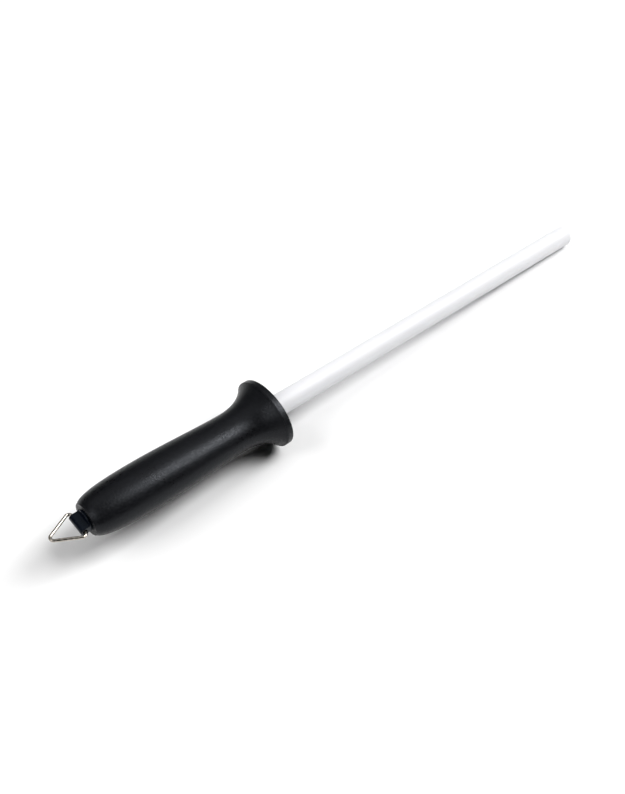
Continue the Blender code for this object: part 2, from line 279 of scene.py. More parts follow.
def turned(name, outline, finish, sides=96, oval=(1.0, 1.0), length=1.0):
    """A turned mesh in millimetres, upright in its frame."""
    chain = chain_of(name + "_outline", [(radius, share, z) for radius, z, share in outline])
    values = {"Sides": sides, "Oval Front": oval[0], "Oval Back": oval[1]}
    values.update({"Length": length, "Finish": finish})
    return run_tree(name, turning, chain, values)


print("inputs of the turning tree:", [item.name for item in turning.interface.items_tree])

# %% [markdown]
# ## From mesh to finished piece
#
# One matrix lays the mesh in place. It is welded, turned right side out and smoothed, with every edge
# sharper than 38 degrees kept crisp. The piece's object stays at the origin, so patterns and exports
# agree on where it is.

# %% Piece helper
SHARP = math.radians(38.0)
CM3 = 1e-6


def faced_out(mesh):
    """Welds a mesh and turns it right side out; says its volume and how many edges are open."""
    work = bmesh.new()
    work.from_mesh(mesh)
    bmesh.ops.remove_doubles(work, verts=work.verts, dist=WELD * MM)
    if work.calc_volume(signed=True) < 0:
        bmesh.ops.reverse_faces(work, faces=work.faces)
    open_edges = sum(1 for edge in work.edges if len(edge.link_faces) != 2)
    volume = work.calc_volume()
    work.to_mesh(mesh)
    work.free()
    return volume, open_edges


def finished(name, mesh, finish, place, body, slot, *nodes):
    """Lays a mesh in place as the piece that stands for the given nodes."""
    mesh.transform(place)
    volume, open_edges = faced_out(mesh)
    mesh.name = name
    mesh.materials.clear()
    mesh.materials.append(finish)
    mesh.shade_smooth()
    mesh.set_sharp_from_angle(angle=SHARP)
    piece = loose_object(name, mesh)
    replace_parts(piece, *nodes)
    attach(piece, body)
    print(f"{name}: {len(mesh.polygons)} faces, {volume / CM3:.2f} cm3, {open_edges} open edges")
    return piece


print(f"edges over {math.degrees(SHARP):.0f} degrees stay sharp")

# %% [markdown]
# ## Finishes
#
# Every finish reads Object coordinates. A Mapping node of the Texture kind turns them into
# millimetres in the piece's own frame, so that grain has a real size and marks can run round or along
# the tool. Each finish mixes a slow noise for colour, a middle one for gloss and a fine one for
# relief. That is how a real surface varies: pigment, handling and tool marks, each at its own scale.

# %% Coordinates and noise in millimetres
def new_finish(name, place):
    """A material whose coordinates are millimetres in the frame of the given matrix."""
    made = bpy.data.materials.new(name)
    made.use_nodes = True
    tree = made.node_tree
    coordinates = node(tree, "ShaderNodeTexCoord").outputs["Object"]
    mapping = node(tree, "ShaderNodeMapping", {"vector_type": "TEXTURE"}, Vector=coordinates)
    mapping.inputs["Location"].default_value = place.translation
    mapping.inputs["Rotation"].default_value = place.to_euler()
    mapping.inputs["Scale"].default_value = place.to_scale()
    return made, tree, tree.nodes["Principled BSDF"], mapping.outputs[0]


def scaled(tree, vector, x, y, z):
    """The same coordinates scaled apart, so that a pattern runs longer one way than another."""
    made = node(tree, "ShaderNodeVectorMath", {"operation": "MULTIPLY"})
    tree.links.new(vector, made.inputs[0])
    made.inputs[1].default_value = (x, y, z)
    return made.outputs[0]


def noise(tree, vector, size, detail=3.0):
    """Noise whose lumps are about this many millimetres across."""
    made = node(tree, "ShaderNodeTexNoise", Vector=vector, Scale=1.0 / size, Detail=detail)
    return made.outputs["Fac"]


def spread(tree, value, low, high, start=0.35, end=0.65):
    """Maps the middle of a noise to a range of numbers."""
    limits = {"From_Min": start, "From_Max": end, "To_Min": low, "To_Max": high}
    return node(tree, "ShaderNodeMapRange", Value=value, **limits).outputs[0]


print("finish coordinates: 1 unit is 1 mm")


# %% Colour and relief
MICROMETRE = 1e-6


def blended(tree, kind, share, first, second):
    """Blends or multiplies two colours by a share from 0 to 1."""
    made = node(tree, "ShaderNodeMix", {"data_type": "RGBA", "blend_type": kind})
    sockets = [socket for socket in made.inputs if socket.enabled]
    for socket, value in zip(sockets, (share, first, second)):
        connect(tree, socket, value)
    return next(socket for socket in made.outputs if socket.enabled)


def tint(tree, share, dark, light):
    """A colour between two others, by a number from 0 to 1."""
    return blended(tree, "MIX", share, (*dark, 1.0), (*light, 1.0))


def relief(tree, shader, *layers):
    """Stacks bumps, each a layer of height, depth in micrometres and strength."""
    normal = None
    for height, depth, strength in layers:
        distance = depth * MICROMETRE
        made = node(tree, "ShaderNodeBump", Height=height, Distance=distance, Strength=strength)
        if normal:
            tree.links.new(normal, made.inputs["Normal"])
        normal = made.outputs[0]
    tree.links.new(normal, shader.inputs["Normal"])


print("relief depths are in micrometres")

# %% [markdown]
# ## The handle's plastic
#
# The handle is black polypropylene from a mould with a fine spark texture. The texture breaks the
# light into a soft sheen with a faint speckle. The black is faintly blue, and so is its sheen. Ribs or
# a weave would be wrong here, so four noises do it: a grain of 1 mm, flecks that are glossier or
# duller, a slower orange-peel ripple, and broad patches where handling changed the gloss.

# %% Moulded black plastic
def moulded_plastic():
    made, tree, shader, place = new_finish("black_moulded_plastic", steel)
    patches = noise(tree, scaled(tree, place, 1.0, 1.0, 0.4), 14.0)
    grain = noise(tree, place, 1.0, detail=2.0)
    ripple = noise(tree, place, 2.6)
    flecks = noise(tree, place, 1.1, detail=2.0)

    black = tint(tree, spread(tree, patches, 0.0, 1.0), (0.0038, 0.0040, 0.0047), (0.0052, 0.0056, 0.0067))
    lifted = tint(tree, spread(tree, flecks, 0.0, 1.0, 0.55, 0.80), (1.0, 1.0, 1.0), (1.5, 1.5, 1.55))
    tree.links.new(blended(tree, "MULTIPLY", 1.0, black, lifted), shader.inputs["Base Color"])
    gloss = maths(tree, "ADD", spread(tree, patches, 0.34, 0.40), spread(tree, flecks, -0.09, 0.09))
    tree.links.new(gloss, shader.inputs["Roughness"])
    shader.inputs["Specular IOR Level"].default_value = 0.235
    shader.inputs["Specular Tint"].default_value = (0.88, 0.92, 1.0, 1.0)
    relief(tree, shader, (ripple, 30.0, 0.25), (grain, 110.0, 0.85))
    return made


handle_plastic = moulded_plastic()
print("finish:", handle_plastic.name)

# %% [markdown]
# ## The handle's outside
#
# The handle is one moulding, from the wide guard that stops the hand to the rounded butt. It could be
# sculpted, but every section across it is the same oval, so it is drawn once and turned. The outline
# runs over the guard's rim, down the flare to the waist, along the belly and round the butt. The rim
# has a crisp front round, a small back round, and a shallow crease where the flare starts. Each curve
# is steered by pulls: how far its handles stand before or behind a point, and how much wider.

# %% The outside of the handle
GUARD_RADIUS = 22.2
RIM_ROUND = 0.8
RIM_BACK = 3.6
RIM_BACK_ROUND = 0.5
FLARE_TOP = (4.0, 21.7)
FLARE_HANDLE = (9.3, 16.2)
WAIST = (27.0, 12.7)
BELLY = (80.0, 14.35)
SHOULDER = (106.8, 13.2)
BUTT_EDGE = (117.1, 10.1)
HANDLE_LENGTH = 118.0
BUTT_FACE = (HANDLE_LENGTH, 9.3)


def pulled(point, back, wider=0.0):
    """A curve handle that stands behind or before a (back, radius) point."""
    return (point[0] + back, point[1] + wider)


def handle_skin():
    """The outside, from the rim's front round to the edge of the butt's face."""
    skin = arc((GUARD_RADIUS - RIM_ROUND, -RIM_ROUND), RIM_ROUND, 90.0, 0.0, oval=1.0)
    skin += arc((GUARD_RADIUS - RIM_BACK_ROUND, -RIM_BACK), RIM_BACK_ROUND, 0.0, -60.0, oval=1.0)
    skin += run((FLARE_TOP[1], -FLARE_TOP[0]), oval=1.0)
    skin += sweep(FLARE_TOP, FLARE_HANDLE, pulled(WAIST, -12.0), WAIST)
    skin += sweep(WAIST, pulled(WAIST, 13.0), pulled(BELLY, -18.0), BELLY)
    skin += sweep(BELLY, pulled(BELLY, 11.0), pulled(SHOULDER, -5.8, 0.8), SHOULDER)
    skin += sweep(SHOULDER, pulled(SHOULDER, 4.6, -0.6), pulled(BUTT_EDGE, -1.8, 1.6), BUTT_EDGE)
    skin += sweep(BUTT_EDGE, pulled(BUTT_EDGE, 0.65, -0.35), pulled(BUTT_FACE, 0.0, 0.4), BUTT_FACE)
    return skin


print("the handle's skin has", len(handle_skin()), "points")

# %% [markdown]
# ## The handle's hollow
#
# From the butt forward the hollow has the recess for the eye's collar, the bore for its stem, the
# pocket for the washer and screw, and the rod's own bore with a rounded mouth. We could cut these with
# Booleans. But the outline can just carry on through them and come back to its start, and then the
# turned shape is closed with no cut at all. The skin's points carry oval = 1 and the hollow's carry 0,
# so the pressing leaves the bores round.

# %% The hollow, and the handle itself
BORE = 7.55
BORE_FLOOR = 76.5
BORE_STEP = 1.0
MOUTH = 0.7
POCKET = 5.6
POCKET_FLOOR = 107.7
STEM_BORE = 3.3
RECESS = 6.3
RECESS_FLOOR = 117.5
RECESS_CHAMFER = 0.25
HANDLE_OVAL = (0.80, 0.91)
HANDLE_SIDES = 160


def handle_hollow():
    """The inside, from the collar's recess forward to the mouth of the rod's bore."""
    chamfer_foot = RECESS_CHAMFER - HANDLE_LENGTH
    inside = run((RECESS + RECESS_CHAMFER, -HANDLE_LENGTH), (RECESS, chamfer_foot), (RECESS, -RECESS_FLOOR))
    inside += run((STEM_BORE, -RECESS_FLOOR), (STEM_BORE, -POCKET_FLOOR), (POCKET, -POCKET_FLOOR))
    inside += run((POCKET, -BORE_FLOOR - BORE_STEP), (BORE, -BORE_FLOOR), (BORE, -MOUTH))
    inside += arc((BORE + MOUTH, -MOUTH), MOUTH, 180.0, 90.0)
    return inside


outline = handle_skin() + handle_hollow()
outline.append(outline[0])
handle_mesh = turned("handle_form", outline, handle_plastic, HANDLE_SIDES, HANDLE_OVAL, HANDLE_LENGTH)
handle = finished("handle_shell", handle_mesh, handle_plastic, steel, "handle", "handle_plastic", "handle")

# %% [markdown]
# ## The rod's ceramic
#
# Sintered alumina is nearly pure white and matt. It is ground round, which leaves faint hoops, and it
# keeps tiny pits between its grains. A new rod has no grey metal marks yet. The hoops are a noise that
# is stretched flat across the axis. A little subsurface light softens it, as in the real stone.

# %% White ground ceramic
def ground_ceramic():
    made, tree, shader, place = new_finish("white_ground_ceramic", steel)
    clouds = noise(tree, scaled(tree, place, 1.0, 1.0, 0.25), 9.0)
    hoops = noise(tree, scaled(tree, place, 0.05, 0.05, 1.0), 0.45, detail=2.0)
    pits = noise(tree, place, 0.16, detail=2.0)

    colour = tint(tree, spread(tree, clouds, 0.0, 1.0), (0.796, 0.798, 0.822), (0.822, 0.824, 0.842))
    tree.links.new(colour, shader.inputs["Base Color"])
    gloss = maths(tree, "ADD", spread(tree, clouds, 0.50, 0.58), spread(tree, hoops, -0.03, 0.03))
    tree.links.new(gloss, shader.inputs["Roughness"])
    shader.inputs["IOR"].default_value = 1.60
    shader.inputs["Subsurface Weight"].default_value = 0.08
    shader.inputs["Subsurface Scale"].default_value = 0.0015
    shader.inputs["Subsurface Radius"].default_value = (1.0, 0.9, 0.8)
    relief(tree, shader, (hoops, 6.0, 0.35), (pits, 5.0, 0.30))
    return made


ceramic = ground_ceramic()
print("finish:", ceramic.name)

# %% [markdown]
# ## The rod
#
# The rod is a ground ceramic bar with a small round at the tip and a chamfer at its bedded end. A
# plain cylinder would do for its length, but the tip's round catches the light, so it is turned too. A
# few rows along the shaft keep its faces from growing too long and thin.

# %% Rod
ROD = 6.35
ROD_BEDDED = 75.0
TIP_ROUND = 1.3
BEDDED_CHAMFER = 0.8
SHAFT_ROWS = 5
ROD_SIDES = 128

tip = run((0.0, rod_exposed), (ROD / 2, rod_exposed))
tip += arc((ROD - TIP_ROUND, rod_exposed - TIP_ROUND), TIP_ROUND, 90.0, 0.0)
shaft = run(*((ROD, rod_exposed * (SHAFT_ROWS - 1 - row) / SHAFT_ROWS) for row in range(SHAFT_ROWS)))
bedded_end = run((ROD, BEDDED_CHAMFER - ROD_BEDDED), (ROD - BEDDED_CHAMFER, -ROD_BEDDED), (0.0, -ROD_BEDDED))
rod_mesh = turned("rod_form", tip + shaft + bedded_end, ceramic, ROD_SIDES)
rod = finished("rod", rod_mesh, ceramic, steel, "handle", "white_ceramic", "ceramic_rod")

# %% [markdown]
# ## The adhesive's finish
#
# The rod is bedded in a cream two-part epoxy. It cures cloudy, with a soft gloss, and keeps a few
# trapped bubbles. Noise makes the clouds, and a Voronoi pattern makes the bubbles: its distance is
# smallest at scattered points, so a narrow range of it gives a small round rim at each.

# %% Cured cream epoxy
def cured_epoxy():
    made, tree, shader, place = new_finish("cured_cream_epoxy", steel)
    clouds = noise(tree, place, 2.2)
    bubbles = node(tree, "ShaderNodeTexVoronoi", Vector=place, Scale=1.6).outputs["Distance"]
    rims = spread(tree, bubbles, 0.0, 1.0, 0.10, 0.22)

    colour = tint(tree, spread(tree, clouds, 0.0, 1.0), (0.62, 0.56, 0.42), (0.74, 0.69, 0.56))
    tree.links.new(colour, shader.inputs["Base Color"])
    tree.links.new(spread(tree, clouds, 0.28, 0.46), shader.inputs["Roughness"])
    relief(tree, shader, (clouds, 60.0, 0.4), (rims, 25.0, 0.5))
    return made


adhesive = cured_epoxy()
print("finish:", adhesive.name)

# %% [markdown]
# ## The bond
#
# The bond fills the clearance between rod and bore. Wet adhesive climbs the walls a little before it
# cures, so its top is a shallow ring-shaped meniscus that hangs between them. In the outline that is
# half a circle, pressed to less than half its depth.

# %% Bond
BOND_TOP = 0.55
FILM = 0.02
MENISCUS_DEPTH = 0.45

bond_in = ROD + FILM
bond_out = BORE - FILM
gap_middle = (bond_in + bond_out) / 2
hanging = arc((gap_middle, 0.0), (bond_out - bond_in) / 2, 180.0, 360.0)
meniscus = [(radius, z * MENISCUS_DEPTH - BOND_TOP, oval) for radius, z, oval in hanging]
cup = run((0.0, -ROD_BEDDED - FILM), (bond_in, -ROD_BEDDED - FILM)) + meniscus
cup += run((bond_out, -BORE_FLOOR + FILM), (0.0, -BORE_FLOOR + FILM))
bond_mesh = turned("bond_form", cup, adhesive)
bond = finished("bond", bond_mesh, adhesive, steel, "handle", "cured_adhesive", "rod_bond")

# %% [markdown]
# ## The eye's nylon
#
# The swivel eye is a harder nylon: smoother, darker and bluer than the handle, with flow marks along
# its length. A noise stretched along the eye makes the flow marks, and it drives the colour, the gloss
# and the slow relief together, because in a moulding they have one cause.

# %% Blue-black nylon
def blue_nylon():
    made, tree, shader, place = new_finish("blue_black_nylon", eye)
    flow = noise(tree, scaled(tree, place, 1.0, 1.0, 0.25), 1.6)
    grain = noise(tree, place, 0.18, detail=2.0)

    colour = tint(tree, spread(tree, flow, 0.0, 1.0), (0.0030, 0.0042, 0.0075), (0.0042, 0.0060, 0.0110))
    tree.links.new(colour, shader.inputs["Base Color"])
    tree.links.new(spread(tree, flow, 0.20, 0.27), shader.inputs["Roughness"])
    shader.inputs["Specular IOR Level"].default_value = 0.20
    shader.inputs["Specular Tint"].default_value = (0.75, 0.88, 1.0, 1.0)
    relief(tree, shader, (flow, 12.0, 0.25), (grain, 5.0, 0.35))
    return made


eye_plastic = blue_nylon()
print("finish:", eye_plastic.name)

# %% [markdown]
# ## The eye's lug
#
# The ring's wire passes through a flat lug with a half-round end. Its root spreads in a fillet where
# it meets the collar, which keeps a moulded part from cracking there. The lug isn't round, so the lathe
# can't make it. We draw its side view as one face, extrude it to its width and bevel the rims.

# %% Lug
COLLAR_SUNK = 0.2
COLLAR_THICK = 1.3
COLLAR_TOP = ring_axis_back - HANDLE_LENGTH + COLLAR_SUNK
COLLAR_BASE = COLLAR_TOP - COLLAR_THICK
LUG_WIDTH = 11.4
LUG_HALF = 2.4
LUG_ROUND = 0.5
LUG_END_STEPS = 33
ROOT_FILLET = 0.9
ROOT_DEPTH = 0.4


def lug_side():
    """The side view of the tongue: its fillets, its flanks and its half-round end."""
    fillet_out = LUG_HALF + ROOT_FILLET
    fillet_z = COLLAR_BASE - ROOT_FILLET
    side = run((fillet_out, COLLAR_BASE + ROOT_DEPTH))
    side += arc((fillet_out, fillet_z), ROOT_FILLET, 90.0, 180.0)
    side += arc((0.0, 0.0), LUG_HALF, 0.0, -180.0, steps=LUG_END_STEPS)
    side += arc((-fillet_out, fillet_z), ROOT_FILLET, 0.0, 90.0)
    side += run((-fillet_out, COLLAR_BASE + ROOT_DEPTH))
    return [(x, z) for x, z, _ in side]


def lug_mesh():
    """The tongue in the eye's own frame, in millimetres."""
    work = bmesh.new()
    face = work.faces.new([work.verts.new((x, -LUG_WIDTH / 2, z)) for x, z in lug_side()])
    near_rim = list(face.edges)
    made = bmesh.ops.extrude_face_region(work, geom=[face])["geom"]
    moved = [part for part in made if isinstance(part, bmesh.types.BMVert)]
    bmesh.ops.translate(work, verts=moved, vec=(0.0, LUG_WIDTH, 0.0))
    bmesh.ops.recalc_face_normals(work, faces=work.faces)
    rims = near_rim + [part for part in made if isinstance(part, bmesh.types.BMEdge)]
    rounding = {"offset": LUG_ROUND, "segments": 4, "profile": 0.5, "affect": "EDGES"}
    bmesh.ops.bevel(work, geom=rims, clamp_overlap=True, **rounding)
    mesh = bpy.data.meshes.new("lug_form")
    work.to_mesh(mesh)
    work.free()
    return mesh


print("the lug's side view has", len(lug_side()), "points")

# %% [markdown]
# ## The swivel eye
#
# The eye is a stem and a collar turned in one with the lug. Stem and collar come from the lathe. The
# lug is joined to them with a Boolean, and then the wire's bore, with flared mouths, and the screw's
# pilot hole are cut. A remesh would join them too, but it would round the seams that a Boolean keeps
# crisp. The two cutters are turned with the same tree as everything else.

# %% Join and cut
CUT_PAST = 1.0


def combined(mesh, *operations):
    """Joins or cuts a mesh with others, one after another."""
    obj = loose_object("combined", mesh)
    others = [loose_object("other", other) for _, other in operations]
    for (operation, _), other in zip(operations, others):
        step = obj.modifiers.new(operation, "BOOLEAN")
        step.operation = operation
        step.object = other
    result = taken_off(obj)
    for other in others:
        bpy.data.objects.remove(other)
    return result


print("cutters run", CUT_PAST, "mm past what they cut")

# %% Eye
COLLAR = 5.8
COLLAR_FRONT_ROUND = 0.15
COLLAR_BACK_ROUND = 0.5
STEM = 3.0
STEM_ROUND = 0.3
STEM_PROUD = 0.3
STEM_TOP = ring_axis_back - POCKET_FLOOR + STEM_PROUD
WIRE_BORE = 1.25
BORE_EASE = 0.02
BORE_FLARE = 0.35
PILOT = 1.7
PILOT_DEPTH = 8.0


def wire_bore_outline():
    """The cutter for the wire: narrow in the middle, flared at both mouths."""
    half = LUG_WIDTH / 2
    flare_centre = WIRE_BORE + BORE_EASE + BORE_FLARE
    outside = WIRE_BORE + BORE_FLARE + CUT_PAST
    cutter = run((0.0, half + CUT_PAST), (outside, half + CUT_PAST))
    cutter += arc((flare_centre, half - BORE_FLARE), BORE_FLARE, 90.0, 180.0)
    cutter += arc((flare_centre, BORE_FLARE - half), BORE_FLARE, 180.0, 270.0)
    return cutter + run((outside, -half - CUT_PAST), (0.0, -half - CUT_PAST))


def stem_and_collar():
    stem = run((0.0, STEM_TOP)) + arc((STEM - STEM_ROUND, STEM_TOP - STEM_ROUND), STEM_ROUND, 90.0, 0.0)
    front_centre = (COLLAR - COLLAR_FRONT_ROUND, COLLAR_TOP - COLLAR_FRONT_ROUND)
    collar = run((STEM, COLLAR_TOP)) + arc(front_centre, COLLAR_FRONT_ROUND, 90.0, 0.0)
    back_centre = (COLLAR - COLLAR_BACK_ROUND, COLLAR_BASE + COLLAR_BACK_ROUND)
    return stem + collar + arc(back_centre, COLLAR_BACK_ROUND, 0.0, -90.0) + run((0.0, COLLAR_BASE))


wire_bore = turned("wire_bore", wire_bore_outline(), eye_plastic, sides=64)
wire_bore.transform(Matrix.Rotation(math.radians(90.0), 4, "X"))
pilot_end = STEM_TOP - PILOT_DEPTH
pilot_outline = run((0.0, STEM_TOP + CUT_PAST), (PILOT, STEM_TOP + CUT_PAST), (PILOT, pilot_end))
pilot_outline += run((0.0, pilot_end - CUT_PAST))
pilot = turned("pilot", pilot_outline, eye_plastic, sides=48)
turned_eye = turned("eye_form", stem_and_collar(), eye_plastic)
eye_form = combined(turned_eye, ("UNION", lug_mesh()), ("DIFFERENCE", wire_bore), ("DIFFERENCE", pilot))
swivel_eye = finished("eye_nylon", eye_form, eye_plastic, eye, "eye", "eye_plastic", "swivel_eye")

# %% [markdown]
# ## The plated metal's finish
#
# The washer and the screw are zinc-plated steel, a soft grey metal with a crystalline mottle. Voronoi
# cells stand for the crystals, and each is a little less glossy at its edge than in its middle. A slow
# haze shifts the colour, because thin plating is never quite even.

# %% Zinc plate
def zinc_plate():
    made, tree, shader, place = new_finish("zinc_plated_steel", eye)
    crystals = node(tree, "ShaderNodeTexVoronoi", Vector=place, Scale=2.5).outputs["Distance"]
    haze = noise(tree, place, 1.3)

    colour = tint(tree, spread(tree, haze, 0.0, 1.0), (0.52, 0.53, 0.54), (0.66, 0.66, 0.65))
    tree.links.new(colour, shader.inputs["Base Color"])
    sparkle = spread(tree, crystals, -0.03, 0.05, 0.1, 0.6)
    gloss = maths(tree, "ADD", spread(tree, haze, 0.26, 0.40), sparkle)
    tree.links.new(gloss, shader.inputs["Roughness"])
    shader.inputs["Metallic"].default_value = 1.0
    relief(tree, shader, (crystals, 6.0, 0.4), (haze, 8.0, 0.3))
    return made


zinc = zinc_plate()
print("finish:", zinc.name)

# %% [markdown]
# ## The washer
#
# A screw and a washer inside the handle's pocket hold the stem, so that the eye can turn and not pull
# out. The washer is stamped from sheet: the punch rounds one edge and leaves the other crisp, with a
# small chamfer in the hole. A closed outline that never touches the axis turns into a ring.

# %% Washer
WASHER = 4.8
WASHER_THICK = 1.0
LIFT = 0.3
PUNCH_ROUND = 0.3
HOLE_CHAMFER = 0.1

washer_foot = STEM_TOP + LIFT
washer_high = washer_foot + WASHER_THICK
section = run((PILOT, washer_high), (PILOT, washer_foot + HOLE_CHAMFER))
section += run((PILOT + HOLE_CHAMFER, washer_foot), (WASHER, washer_foot))
section += arc((WASHER - PUNCH_ROUND, washer_high - PUNCH_ROUND), PUNCH_ROUND, 0.0, 90.0)
section.append(section[0])
washer_mesh = turned("washer_form", section, zinc)
washer = finished("washer", washer_mesh, zinc, eye, "eye", "plated_steel", "eye_washer")

# %% [markdown]
# ## A tree that cuts a thread
#
# A thread is a rule: at each place the skin goes in and out with the height plus the turn. So a second
# tree moves the points of a turned blank by that rule, towards the axis, between a start and an end.
# A Boolean with a coiled cutter would also work, but it can leave slivers. This only moves points.

# %% The threading tree
FLANK = 3.0


def threading_tree():
    inputs = {"Pitch": "Float", "Depth": "Float", "Start": "Float", "End": "Float"}
    tree, given, out = new_tree("Threading", {**inputs, "Finish": "Material"})
    place = node(tree, "GeometryNodeInputPosition").outputs[0]
    parts = node(tree, "ShaderNodeSeparateXYZ", Vector=place).outputs
    turns = maths(tree, "DIVIDE", maths(tree, "ARCTAN2", parts["Y"], parts["X"]), 2 * math.pi)
    phase = maths(tree, "ADD", maths(tree, "DIVIDE", parts["Z"], given.outputs["Pitch"]), turns)
    valley = maths(tree, "PINGPONG", phase, 0.5)
    cut = maths(tree, "MINIMUM", maths(tree, "MULTIPLY", valley, FLANK), 1.0)
    above_end = maths(tree, "GREATER_THAN", parts["Z"], given.outputs["End"])
    below_start = maths(tree, "LESS_THAN", parts["Z"], given.outputs["Start"])
    cut = maths(tree, "MULTIPLY", cut, maths(tree, "MULTIPLY", above_end, below_start))
    inward = maths(tree, "MULTIPLY", maths(tree, "MULTIPLY", cut, given.outputs["Depth"]), -1.0)

    flat = node(tree, "ShaderNodeCombineXYZ", X=parts["X"], Y=parts["Y"]).outputs[0]
    outward = node(tree, "ShaderNodeVectorMath", {"operation": "NORMALIZE"}, Vector=flat).outputs[0]
    scale = {"operation": "SCALE"}
    offset = node(tree, "ShaderNodeVectorMath", scale, Vector=outward, Scale=inward).outputs[0]
    blank = given.outputs["Geometry"]
    moved = node(tree, "GeometryNodeSetPosition", Geometry=blank, Offset=offset)
    return close_tree(tree, moved.outputs[0], given.outputs["Finish"], out)


threading = threading_tree()
print("threading tree:", len(threading.nodes), "nodes")

# %% [markdown]
# ## The screw
#
# The screw has a round head with a slot, a short plain shank, a thread and a blunt tip. The blank is
# turned with many rows for each pitch, so that the rule has enough points to move. The slot is cut
# last, with a block, because a lathe can't make it.

# %% Screw
SEAT = washer_high + LIFT
HEAD = 3.0
HEAD_HEIGHT = 2.0
SLOT_WIDTH = 0.8
SLOT_DEPTH = 1.0
SHANK = 1.4
SHANK_LENGTH = 9.0
PLAIN_SHANK = 0.8
BLUNT_TIP = 0.5
TIP_SLOPE = 0.3
THREAD_PITCH = 0.9
THREAD_DEPTH = 0.32
ROWS_PER_PITCH = 14


def screw_blank(thread_top, thread_foot):
    """The unthreaded screw's outline, with close rows where the thread will be."""
    head_round = HEAD_HEIGHT / 2
    head_top = SEAT + HEAD_HEIGHT
    head = run((0.0, head_top))
    head += arc((HEAD - head_round, head_top - head_round), head_round, 90.0, 0.0) + run((HEAD, SEAT))
    rows = int((thread_top - thread_foot) / THREAD_PITCH * ROWS_PER_PITCH)
    heights = [thread_top + (thread_foot - thread_top) * row / rows for row in range(rows + 1)]
    shank = run((SHANK, SEAT), *((SHANK, height) for height in heights))
    tip_end = SEAT - SHANK_LENGTH + SHANK
    return head + shank + run((BLUNT_TIP, tip_end + TIP_SLOPE), (0.0, tip_end))


def block(name, size, centre):
    """A plain block as a mesh."""
    work = bmesh.new()
    bmesh.ops.create_cube(work, size=1.0)
    bmesh.ops.scale(work, verts=work.verts, vec=size)
    bmesh.ops.translate(work, verts=work.verts, vec=centre)
    mesh = bpy.data.meshes.new(name)
    work.to_mesh(mesh)
    work.free()
    return mesh


thread_top = SEAT - PLAIN_SHANK
thread_foot = SEAT - SHANK_LENGTH + 2 * SHANK
blank = turned("screw_form", screw_blank(thread_top, thread_foot), zinc, sides=48)
thread = {"Pitch": THREAD_PITCH, "Depth": THREAD_DEPTH, "Finish": zinc}
thread.update({"Start": thread_top, "End": thread_foot})
threaded = run_tree("screw_thread", threading, blank, thread)
slot_size = (SLOT_WIDTH, 3 * HEAD, 2 * SLOT_DEPTH)
driver_slot = block("driver_slot", slot_size, (0.0, 0.0, SEAT + HEAD_HEIGHT))
screw_mesh = combined(threaded, ("DIFFERENCE", driver_slot))
screw = finished("screw", screw_mesh, zinc, eye, "eye", "plated_steel", "eye_screw")

# %% [markdown]
# ## The ring's finish
#
# The ring is nickel-plated drawn wire, bright and slightly warm, with fine lines along the wire. The
# lines have to follow the wire round its bends, so they can't be read from a place in space. They read
# two attributes that the wire's own tree stores: how far along the wire a point is, and where round it.

# %% Bright nickel
def bright_nickel():
    made, tree, shader, place = new_finish("bright_nickel_wire", eye)
    along = node(tree, "ShaderNodeAttribute", {"attribute_name": "wire_along"}).outputs["Fac"]
    around = node(tree, "ShaderNodeAttribute", {"attribute_name": "wire_around"}).outputs["Vector"]
    parts = node(tree, "ShaderNodeSeparateXYZ", Vector=around).outputs
    stretched = maths(tree, "MULTIPLY", along, 0.01)
    drawn = node(tree, "ShaderNodeCombineXYZ", X=parts["X"], Y=parts["Y"], Z=stretched).outputs[0]
    lines = noise(tree, drawn, 0.16, detail=2.0)
    haze = noise(tree, place, 1.8)

    colour = tint(tree, spread(tree, haze, 0.0, 1.0), (0.46, 0.42, 0.37), (0.58, 0.54, 0.49))
    tree.links.new(colour, shader.inputs["Base Color"])
    gloss = maths(tree, "ADD", spread(tree, haze, 0.20, 0.27), spread(tree, lines, -0.02, 0.03))
    tree.links.new(gloss, shader.inputs["Roughness"])
    shader.inputs["Metallic"].default_value = 1.0
    relief(tree, shader, (lines, 1.5, 0.25))
    return made


nickel = bright_nickel()
print("finish:", nickel.name)

# %% [markdown]
# ## A tree that draws wire
#
# A curve with a round bevel would give a wire, but no attributes. So a third tree turns a chain of
# points into a curve, stores how far along each point is, eases the wire's two ends, and sweeps a
# circle along it that carries its own positions as the second attribute.

# %% The wire tree
def stored(tree, kind, geometry, name, value):
    """Geometry that remembers a value at each point, under a name that a finish can read."""
    options = {"data_type": kind, "domain": "POINT"}
    made = node(tree, "GeometryNodeStoreNamedAttribute", options, Geometry=geometry, Name=name, Value=value)
    return made.outputs[0]


def wire_tree():
    inputs = {"Radius": "Float", "Sides": "Int", "End Share": "Float", "Finish": "Material"}
    tree, given, out = new_tree("Wire", inputs)
    curve = node(tree, "GeometryNodeMeshToCurve", Mesh=given.outputs["Geometry"]).outputs[0]
    length = node(tree, "GeometryNodeSplineParameter").outputs["Length"]
    curve = stored(tree, "FLOAT", curve, "wire_along", length)
    ends = node(tree, "GeometryNodeCurveEndpointSelection", Start_Size=1, End_Size=1).outputs[0]
    end_share = given.outputs["End Share"]
    eased = node(tree, "GeometryNodeSetCurveRadius", Curve=curve, Selection=ends, Radius=end_share)

    size = {"Resolution": given.outputs["Sides"], "Radius": given.outputs["Radius"]}
    circle = node(tree, "GeometryNodeCurvePrimitiveCircle", **size).outputs[0]
    place = node(tree, "GeometryNodeInputPosition").outputs[0]
    profile = stored(tree, "FLOAT_VECTOR", circle, "wire_around", place)
    path = {"Curve": eased.outputs[0], "Profile_Curve": profile, "Fill_Caps": True}
    swept = node(tree, "GeometryNodeCurveToMesh", **path).outputs[0]
    welded = node(tree, "GeometryNodeMergeByDistance", Geometry=swept, Distance=WELD)
    return close_tree(tree, welded.outputs[0], given.outputs["Finish"], out)


wire = wire_tree()
print("wire tree:", len(wire.nodes), "nodes")

